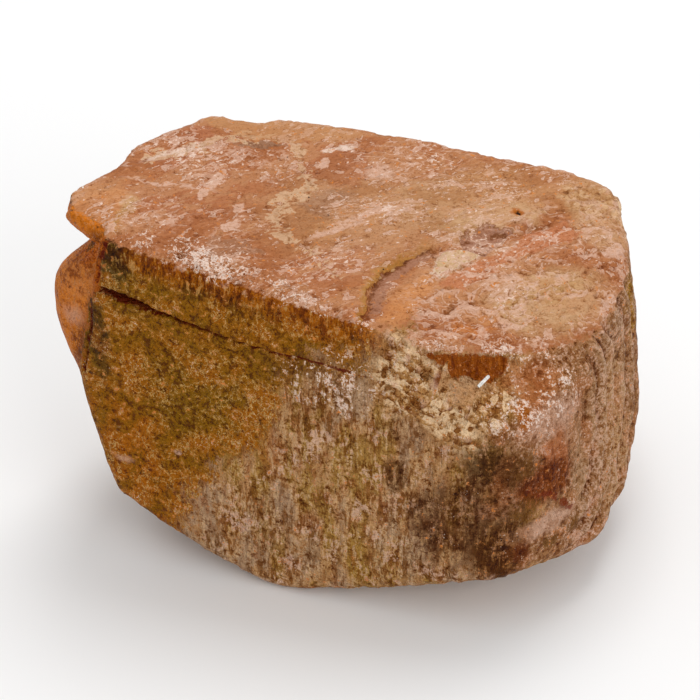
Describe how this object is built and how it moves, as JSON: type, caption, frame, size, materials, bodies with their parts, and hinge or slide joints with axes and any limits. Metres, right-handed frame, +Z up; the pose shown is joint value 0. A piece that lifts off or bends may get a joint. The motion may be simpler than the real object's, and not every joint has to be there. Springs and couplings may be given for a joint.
{
  "type": "rough moonstone",
  "caption": "Rough lump of peach moonstone: flat cleavage top, steep broken sides, an open crack along the front and a small flat spot to stand on.",
  "frame": {"origin": "on the ground, at the middle of the stone's outline seen from above", "axes": "+X along the stone's length towards its blunt fluted end, +Y from the cracked front towards the back, +Z up"},
  "size_m": [0.0614, 0.0436, 0.039],
  "materials": {
    "feldspar": "rough peach feldspar with frosted cleavage steps, amber and brown iron staining and a dull to silky sheen"
  },
  "bodies": {
    "root": {"moonstone": "feldspar"}
  },
  "joints": []
}
